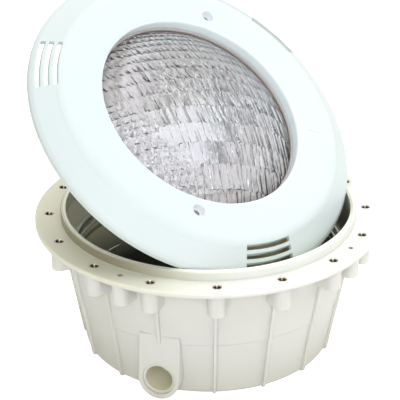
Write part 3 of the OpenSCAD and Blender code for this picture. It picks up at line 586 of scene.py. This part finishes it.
lip_profile = [
    (LIP_IN_R, lens_front(LIP_IN_R) + LIP_CLEAR), (LIP_OUT_R, lens_front(LIP_OUT_R) + LIP_CLEAR),
    (LIP_OUT_R, LIP_TOP - LIP_OUT_DROP), (LIP_OUT_R - LIP_CHAMFER, LIP_TOP),
    (LIP_IN_R + LIP_CHAMFER, LIP_TOP), (LIP_IN_R, LIP_TOP - LIP_IN_DROP)]
lip_grid = turned_grid(lip_profile, 160)
lip_silicone = moulded_plastic("lip_silicone", (0.56, 0.50, 0.475, 1), (0.52, 0.46, 0.435, 1), 0.5)
new_piece("gasket_lip", in_light(lip_grid), closed_loop(lip_grid), lip_silicone, "light_unit")

# ---- Rear housing ----
# The housing is a black glass-filled bowl over the lamp's back, with a spark-eroded texture.
# It is moulded in one with its flange, webs and gland boss.
housing_black = moulded_plastic("housing_black", (0.014, 0.014, 0.015, 1),
                                (0.022, 0.022, 0.023, 1), 0.48, edge=0.6, bump=0.25, grain=0.8,
                                drift=30.0)
dress("rear_housing", housing_black)

# ---- Housing screws ----
# Six stainless pan-head screws with washers clamp the housing's flange to the ring's bosses,
# with the gasket and the lamp between them.
screw_steel = metal("screw_steel", (0.72, 0.72, 0.73, 1), (0.55, 0.55, 0.56, 1), 0.18, 0.36)
dress("housing_screws", screw_steel)
washer_steel = metal("washer_steel", (0.64, 0.64, 0.65, 1), (0.50, 0.50, 0.51, 1), 0.28, 0.45)
dress("screw_washers", washer_steel)

# ---- Cable gland ----
# The gland is black nylon with a grey rubber washer and seal. Its body passes the housing's cap
# and a locknut holds it from inside, and the dome nut squeezes the seal on the cable.
gland_nylon = moulded_plastic("gland_nylon", (0.020, 0.020, 0.021, 1), (0.028, 0.028, 0.029, 1),
                              0.34, bump=0.08, grain=0.5)
for node in ("gland_body", "gland_locknut", "gland_nut"):
    dress(node, gland_nylon)
gland_rubber = moulded_plastic("gland_rubber", (0.055, 0.055, 0.056, 1),
                               (0.075, 0.074, 0.073, 1), 0.7, bump=0.12, grain=0.6)
for node in ("gland_washer", "gland_seal"):
    dress(node, gland_rubber)

# ---- Lens ----
# The lamp's front is a dome of pressed clear glass. Its inside carries rows of upright flutes,
# each row a shallow wedge that bends the beam down, and a pebble that scatters the edge light.
LENS_IN_R, LAMP_R, SHOULDER_R, SHOULDER_Z, SEAM_R, SEAM_Z = 126.5, 88.9, 87.5, 1.75, 85.3, -1.05
LENS_ROUND, SHOULDER_ROUND = (0.3, 0.4), 0.5
PRISM_R, PRISM_FADE, BEAM_TURN = 84.0, 1.2, radians(199.5)
GRID_STEP, ROW_STEPS, RISER, TOP_STEPS, TOP_INSET = 0.56, 11, 0.25, 5, 0.02
ROW_TOPS = np.array([40.3 - 9.6 * k - 0.48 * k * k for k in range(-7, 10)])
STEP_COUNT, STEP_START = 130, 100
FLUTE_MIN, FLUTE_MAX, FLUTE_DEPTH, FLUTE_LEAN = 3.2, 6.4, 0.22, 0.16
WEDGE_SPAN, WEDGE_DEPTH, ROW_BULGE = (-50, 60), (0.3, -0.3), 0.85
LIVELY_SPAN, LIVELY = (-55, 65), (1.35, 0.6)
FACET_MIN, FACET_MAX, FACET_TILT, FACET_START, FACET_GROWTH = 1.0, 2.2, 0.50, 0.55, 0.45
GRAIN_DEPTH, SCALLOP, SCALLOP_LEVEL, SCALLOP_REACH = 0.03, 1.4, 0.6, 3.5
PEBBLE, PEBBLE_BASE, PEBBLE_DEPTH, PEBBLE_POWER, PEBBLE_CELLS = 5.8, 1.0, 2.0, 0.7, 60
PEBBLE_SWAY, PEBBLE_SWAY_STEP, PEBBLE_LEAST, PEBBLE_MOST = 0.2, 9, 0.4, 1.5
PEBBLE_SIDE, PEBBLE_START, PEBBLE_BLEND = (-0.78, -0.63), 46.0, 9.0
chance = np.random.default_rng(11)


def beam_lines():
    """Grid lines of the prism side: evenly spaced across it, and eleven to a row down it, which
    leaves a narrow strip for the riser between two rows."""
    half = int(PRISM_R / GRID_STEP) + 2
    rows = [np.linspace(top - RISER, foot, ROW_STEPS) for top, foot in zip(ROW_TOPS, ROW_TOPS[1:])]
    down = np.concatenate([np.linspace(PRISM_R - TOP_INSET, ROW_TOPS[0], TOP_STEPS), *rows])
    down = down[np.abs(down) < PRISM_R]
    ends = PRISM_R * np.cos(np.radians(np.arange(0, 20, 2.0)))
    down = np.unique(np.concatenate([down, ends, -ends]).round(4))
    return np.arange(-half, half + 1) * GRID_STEP, down[::-1]


def uneven_steps(across, row, least, most, heights=None):
    """For each row of the lens, marks set at random distances from least to most apart. Gives
    each point's place counted in marks, or the straight line between the marks' heights."""
    gaps = chance.uniform(least, most, (len(ROW_TOPS), STEP_COUNT))
    place = np.zeros_like(across)
    for k, line in enumerate(np.cumsum(gaps, axis=1) - STEP_START - most):
        here = row == k
        values = np.arange(STEP_COUNT) if heights is None else heights[k]
        place[here] = np.interp(across[here], line, values)
    return place


def prism_relief(across, down):
    """Relief of the prism side, and its shift along the way down. Every row is a bulge on a
    wedge, whose head stands out low on the lens and sinks in high on it. It is crossed by round
    flutes and by flat facets that tilt at random. Towards one side the rows give way to a
    pebble of uneven square sine bumps. The flutes also bow each row's edge by a small scallop.
    All of it fades out at the rim."""
    row = np.clip(np.searchsorted(-ROW_TOPS, -down, side="left") - 1, 0, len(ROW_TOPS) - 2)
    share = np.clip((ROW_TOPS[row] - down) / (ROW_TOPS[row] - ROW_TOPS[row + 1]), 0, 1)
    wedge = np.interp(down, WEDGE_SPAN, WEDGE_DEPTH)
    leaning = across + FLUTE_LEAN * down
    phase = uneven_steps(leaning, row, FLUTE_MIN, FLUTE_MAX)
    arch = 1 - (2 * (phase - np.floor(phase)) - 1) ** 2
    tilts = chance.normal(0, FACET_TILT, (len(ROW_TOPS), STEP_COUNT))
    facets = uneven_steps(leaning, row, FACET_MIN, FACET_MAX, tilts)
    facets *= FACET_START + FACET_GROWTH * share
    bulge = ROW_BULGE * (1 - (2 * share - 1) ** 2)
    uneven = bulge + FLUTE_DEPTH * arch + facets + chance.normal(0, GRAIN_DEPTH, across.shape)
    ribbed = wedge * (1 - share) + np.interp(down, LIVELY_SPAN, LIVELY) * uneven
    cell_a = across / PEBBLE + PEBBLE_SWAY * np.sin(down / PEBBLE_SWAY_STEP)
    cell_d = down / PEBBLE
    sizes = chance.uniform(PEBBLE_LEAST, PEBBLE_MOST, (PEBBLE_CELLS, PEBBLE_CELLS))
    index_a, index_d = (np.floor(cell).astype(int) + PEBBLE_CELLS // 2 for cell in (cell_a, cell_d))
    size = sizes[index_a, index_d]
    bump = np.abs(np.sin(np.pi * cell_a) * np.sin(np.pi * cell_d)) ** PEBBLE_POWER
    pebble = PEBBLE_BASE + PEBBLE_DEPTH * size * bump
    side = PEBBLE_SIDE[0] * across + PEBBLE_SIDE[1] * down
    mix = np.clip((side - PEBBLE_START) / PEBBLE_BLEND, 0, 1)
    fade = np.clip((PRISM_R - np.hypot(across, down)) / PRISM_FADE, 0, 1)
    nearest = np.abs(down[..., None] - ROW_TOPS).min(-1)
    near_row = np.clip(1 - nearest / SCALLOP_REACH, 0, 1)
    shift = SCALLOP * (arch - SCALLOP_LEVEL) * near_row * fade * (1 - mix)
    return fade * (ribbed * (1 - mix) + pebble * mix), shift


def lens_mesh():
    """Closed glass dome. Its back is the prism grid, clipped to a circle row by row and sunk by
    the relief below a sphere; its rim and front are rings swept from that circle's own points,
    ending at the tip."""
    across, down = beam_lines()
    v, u = np.meshgrid(down, across, indexing="ij")
    chord = np.sqrt(np.maximum(PRISM_R ** 2 - v ** 2, 0))
    inside = np.abs(u) < chord
    relief, shift = (values * inside for values in prism_relief(u, v))
    u = np.clip(u, -chord, chord)
    back = LENS_CENTRE + np.sqrt(LENS_IN_R ** 2 - u ** 2 - v ** 2) - relief
    points = np.stack([u, v + shift, back], -1).reshape(-1, 3)
    faces = grid_faces(*u.shape)
    faces = faces[inside.reshape(-1)[faces].any(1)]
    right, left = np.stack([chord[:, -1], down], -1), np.stack([-chord[:, 0], down], -1)
    rim = np.concatenate([right, left[::-1]])
    angle = np.arctan2(rim[:, 1], rim[:, 0])
    dome_r = np.linspace(SHOULDER_R, 0, 26)
    profile = np.concatenate([
        [[PRISM_R, LENS_CENTRE + np.sqrt(LENS_IN_R ** 2 - PRISM_R ** 2)], [SEAM_R, SEAM_Z],
         [LAMP_R - LENS_ROUND[0], SEAM_Z], [LAMP_R, SEAM_Z + LENS_ROUND[1]],
         [LAMP_R, SHOULDER_Z - SHOULDER_ROUND], [LAMP_R - SHOULDER_ROUND, SHOULDER_Z]],
        np.stack([dome_r, lens_front(dome_r)], -1)])
    ring = np.stack([np.cos(angle)[:, None] * profile[:, 0], np.sin(angle)[:, None] * profile[:, 0],
                     np.broadcast_to(profile[:, 1], (len(angle), len(profile)))], -1)
    ring_faces = grid_faces(len(angle), len(profile), loop_rows=True) + len(points)
    points = np.concatenate([points, ring.reshape(-1, 3)])
    c, s = cos(BEAM_TURN), sin(BEAM_TURN)
    turn = np.array([[-c, -s, 0], [s, -c, 0], [0, 0, 1]])
    return in_light(points @ turn), np.concatenate([faces, ring_faces])


lens_glass = plain_material("pressed_glass", Base_Color=(0.95, 0.95, 0.96, 1), Roughness=0.02,
                            IOR=1.47, Transmission_Weight=1.0)[0]
lens_points, lens_faces = lens_mesh()
lens = new_piece("lens_dome", lens_points, lens_faces, lens_glass, "lamp",
                 smooth=False)
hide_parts("lamp_lens")

# ---- Reflector ----
# The lamp's back is a pressed glass bowl with a parabolic inside that is aluminised. It is fused
# to the lens at the rim, and its neck carries the leads through to the base.
MOUTH_R, NECK_R, GLASS_T, MIRROR_LIFT = 84.0, 24.0, 3.5, 0.35
RIM_BACK, NECK_Z, RIM_ROUND, SEAM_CLEAR, SEAM_ROUND = -3.75, -77.75, 0.5, 0.05, 0.4


def bowl_height(r):
    """Height of the outer bowl at a radius: a parabola from the neck to the rim."""
    return NECK_Z + (RIM_BACK - NECK_Z) * (r * r - NECK_R ** 2) / (MOUTH_R ** 2 - NECK_R ** 2)


def reflector_profile():
    """Closed profile of the bowl: its rim, down the outside to the neck, across its back, and
    up the mirrored inside."""
    out_r = np.linspace(MOUTH_R, NECK_R, 24)
    in_r = np.linspace(NECK_R - GLASS_T, MOUTH_R - GLASS_T, 60)
    outer = np.stack([out_r, bowl_height(out_r)], -1)
    inner = np.stack([in_r, bowl_height(in_r + GLASS_T) + MIRROR_LIFT * GLASS_T], -1)
    return np.concatenate([
        [[MOUTH_R - GLASS_T, SEAM_Z - SEAM_CLEAR], [LAMP_R - SEAM_ROUND, SEAM_Z - SEAM_CLEAR],
         [LAMP_R, SEAM_Z - RIM_ROUND], [LAMP_R, RIM_BACK + RIM_ROUND],
         [LAMP_R - RIM_ROUND, RIM_BACK]], outer, [[0, NECK_Z], [0, NECK_Z + GLASS_T]], inner])


mirror = metal("reflector_mirror", (0.94, 0.905, 0.88, 1), (0.90, 0.865, 0.84, 1), 0.08, 0.16,
               drift=60.0, bump=0.02, metallic=0.93)
bowl = turned_grid(reflector_profile(), 160)
reflector = new_piece("reflector_bowl", in_light(bowl), closed_loop(bowl), mirror, "lamp")
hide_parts("lamp_reflector")

# ---- Filament ----
# The filament is a coil of tungsten wire hung between two nickel lead posts. It is wound on a
# mandrel and its ends are clamped into the posts.
FILAMENT_Z, FILAMENT_HALF, COIL_R, COIL_TURNS, COIL_STEPS = -51.85, 7.9, 1.35, 13, 20
WIRE_R, WIRE_SIDES = 0.22, 8


def coil_mesh():
    """Tube round a helix: the centre line winds round the unit's X with u, and a small circle
    of the wire's radius goes round it with v, set across the line's own direction."""
    u = np.linspace(0, 1, COIL_TURNS * COIL_STEPS + 1)[:, None]
    turn = 2 * np.pi * COIL_TURNS * u
    radial = np.concatenate([np.zeros_like(u), np.cos(turn), np.sin(turn)], 1)
    middle = np.concatenate([FILAMENT_HALF * (2 * u - 1), 0 * u, 0 * u + FILAMENT_Z], 1)
    line = middle + COIL_R * radial
    along = np.gradient(line, axis=0)
    along /= np.linalg.norm(along, axis=1, keepdims=True)
    side = np.cross(along, radial)
    v = np.arange(WIRE_SIDES)[None, :, None] * 2 * np.pi / WIRE_SIDES
    grid = line[:, None] + WIRE_R * (np.cos(v) * radial[:, None] + np.sin(v) * side[:, None])
    caps = [list(range(WIRE_SIDES)), list(range((len(u) - 1) * WIRE_SIDES, len(u) * WIRE_SIDES))]
    return in_light(grid), grid_faces(len(u), WIRE_SIDES, loop_columns=True).tolist() + caps


tungsten = metal("tungsten_wire", (0.46, 0.45, 0.44, 1), (0.34, 0.33, 0.33, 1), 0.3, 0.5)
coil_points, coil_faces = coil_mesh()
filament = new_piece("filament_coil", coil_points, coil_faces, tungsten, "lamp")
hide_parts("filament")
nickel = metal("post_nickel", (0.66, 0.64, 0.60, 1), (0.54, 0.52, 0.49, 1), 0.2, 0.4)
dress("filament_posts", nickel)

# ---- Lamp base ----
# The base is a disc of white steatite cemented over the lamp's neck. Two plated blocks on it take
# the supply wires under slotted brass screws.
steatite = moulded_plastic("base_steatite", (0.78, 0.75, 0.68, 1), (0.72, 0.69, 0.62, 1), 0.42,
                           bump=0.1, grain=0.6)
dress("lamp_base", steatite)
terminal_brass = metal("terminal_brass", (0.72, 0.57, 0.30, 1), (0.55, 0.42, 0.22, 1), 0.22, 0.42)
dress("lamp_terminals", terminal_brass)
dress("terminal_screws", terminal_brass)

# ---- Studio ----
# A pale floor and soft daylight: a broad box from the front and a small near one that fills
# under the ring, one over the top, one from behind, and a small one on the right that shades
# the flange from right to left. The lens bends the view into a room of dark and bright patches.
FLOOR_HALF, FLOOR_GLOW = 6, 0.75
DAY_COOL, DAY_WARM, DAY_SIDE = (0.395, 0.408, 0.425, 1), (0.580, 0.545, 0.375, 1), (0.75, -0.6, 0.2)
SHEEN = (1.05, 1.09, 1.12, 1)
ROOM_DARK, ROOM_LIGHT, ROOM_LAMP = (0.22, 0.16, 0.12, 1), (1.43, 1.53, 1.67, 1), (3.0, 3.1, 3.3, 1)
ROOM_SCALE, ROOM_DETAIL, ROOM_SINK = 14.0, 3.0, -0.05
SOFT_BOXES = (
    ("front", (-0.3, -2.35, 1.15), (0, 0, 0.1), 1.6, 31, (0.975, 1.0, 1.05)),
    ("near", (-0.07, -1.2, 0.71), (-0.05, 0, 0.1), 0.25, 1.6, (1.0, 1.0, 0.98)),
    ("top", (0.0, 0.1, 2.0), (0, 0, 0.1), 1.2, 15, (0.96, 1.0, 1.08)),
    ("right", (0.62, -0.2, 0.5), (0.05, -0.05, 0.1), 0.3, 2.0, (1, 1, 1)),
    ("behind", (0.5, 1.3, 1.6), (0, 0, 0.12), 1.0, 17, (1.0, 0.985, 0.92)))

floor_mesh = bpy.data.meshes.new("floor")
floor_corners = [(-FLOOR_HALF, -FLOOR_HALF, 0), (FLOOR_HALF, -FLOOR_HALF, 0),
                 (FLOOR_HALF, FLOOR_HALF, 0), (-FLOOR_HALF, FLOOR_HALF, 0)]
floor_mesh.from_pydata(floor_corners, [], [(0, 1, 2, 3)])
floor_paint, floor_tree, floor_shader = plain_material(
    "floor_paint", Base_Color=(0.78, 0.775, 0.75, 1), Roughness=0.9, Emission_Color=(1, 1, 1, 1))
seen = add_node(floor_tree, "LightPath").outputs["Is Camera Ray"]
glow = math_node(floor_tree, "MULTIPLY", seen, FLOOR_GLOW)
feed(floor_tree, floor_shader.inputs["Emission Strength"], glow)
floor_mesh.materials.append(floor_paint)
floor = bpy.data.objects.new("floor", floor_mesh)
scene.collection.objects.link(floor)

world = bpy.data.worlds.new("studio")
world.use_nodes = True
sky = world.node_tree
toward = add_node(sky, "TexCoord").outputs["Generated"]
daylight = math_node(sky, "DOT_PRODUCT", toward, DAY_SIDE, kind="VectorMath", result="Value")
day = mixed(sky, run_between(sky, daylight, -1.0, 1.0), DAY_WARM, DAY_COOL)
clutter = add_node(sky, "TexNoise", Vector=toward, Scale=ROOM_SCALE, Detail=ROOM_DETAIL)
rising = math_node(sky, "MULTIPLY_ADD", split(sky, toward)[2], ROOM_SINK, clutter.outputs["Fac"])
room = add_node(sky, "ValToRGB", Fac=rising)
stops = room.color_ramp.elements
for stop, place, color in ((stops[0], 0.40, ROOM_DARK), (stops[1], 0.68, ROOM_LAMP)):
    stop.position, stop.color = place, color
for place in (0.48, 0.60):
    stops.new(place).color = ROOM_LIGHT
ray_kind = add_node(sky, "LightPath").outputs
in_air = mixed(sky, ray_kind["Is Diffuse Ray"], SHEEN, day)
surroundings = mixed(sky, ray_kind["Is Transmission Ray"], in_air, room.outputs["Color"])
feed(sky, sky.nodes["Background"].inputs["Color"], surroundings)
scene.world = world

for name, place, aim, size, power, color in SOFT_BOXES:
    lamp_data = bpy.data.lights.new(name, "AREA")
    lamp_data.size, lamp_data.energy, lamp_data.color = size, power, color
    lamp = bpy.data.objects.new(name, lamp_data)
    lamp.location = place
    lamp.rotation_euler = (Vector(aim) - Vector(place)).to_track_quat("-Z", "Y").to_euler()
    lamp.visible_glossy = lamp.visible_transmission = False
    scene.collection.objects.link(lamp)
scene.view_settings.view_transform = "Standard"
